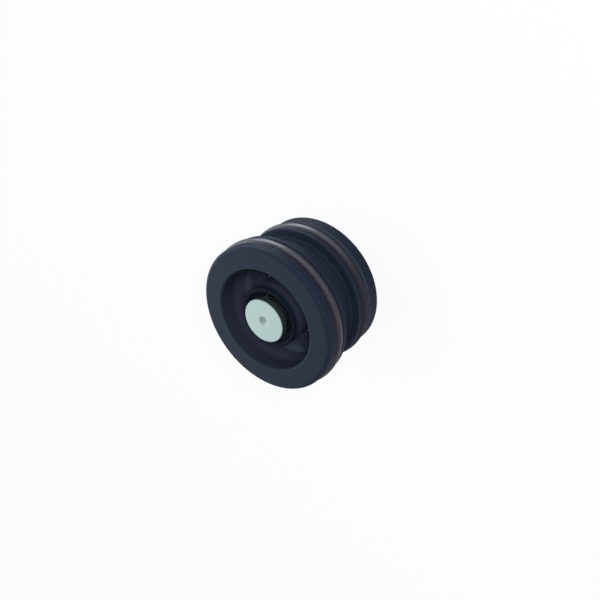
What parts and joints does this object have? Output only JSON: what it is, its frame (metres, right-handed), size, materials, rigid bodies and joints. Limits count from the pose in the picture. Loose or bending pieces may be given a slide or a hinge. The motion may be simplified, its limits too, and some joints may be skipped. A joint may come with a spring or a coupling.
{
  "type": "non-return valve cartridge",
  "caption": "Short black insert cartridge with a flange at each end, each with a sealing ring, and a sprung poppet inside that lets water through one way only.",
  "frame": {"origin": "centre of the rear (outlet) face, on which the cartridge stands", "axes": "+Z along the flow axis towards the inlet face, +X and +Y along the hub's spokes"},
  "size_m": [0.0368, 0.0368, 0.0213],
  "materials": {
    "body_plastic": "black moulded plastic, satin",
    "ring_rubber": "near-black rubber with a thin film of grease",
    "cap_steel": "turned pale metal, satin",
    "stem_steel": "turned stainless steel",
    "spring_steel": "dark oil-tempered wire, satin",
    "poppet_plastic": "black moulded plastic",
    "seal_rubber": "black rubber"
  },
  "bodies": {
    "cartridge": {"valve_body": "body_plastic", "front_o_ring": "ring_rubber", "rear_o_ring": "ring_rubber", "return_spring": "spring_steel"},
    "poppet": {"spring_cap": "cap_steel", "valve_stem": "stem_steel", "poppet_disc": "poppet_plastic", "poppet_seal": "seal_rubber", "seal_washer": "stem_steel", "nut_washer": "stem_steel", "stem_nut": "stem_steel"}
  },
  "joints": [
    {"name": "poppet_slide", "type": "slide", "parent": "cartridge", "child": "poppet", "axis": [0, 0, -1], "range_m": [0, 0.0038], "stiffness_N_per_m": 150, "springref_m": -0.0035, "deforming": ["return_spring"]}
  ]
}
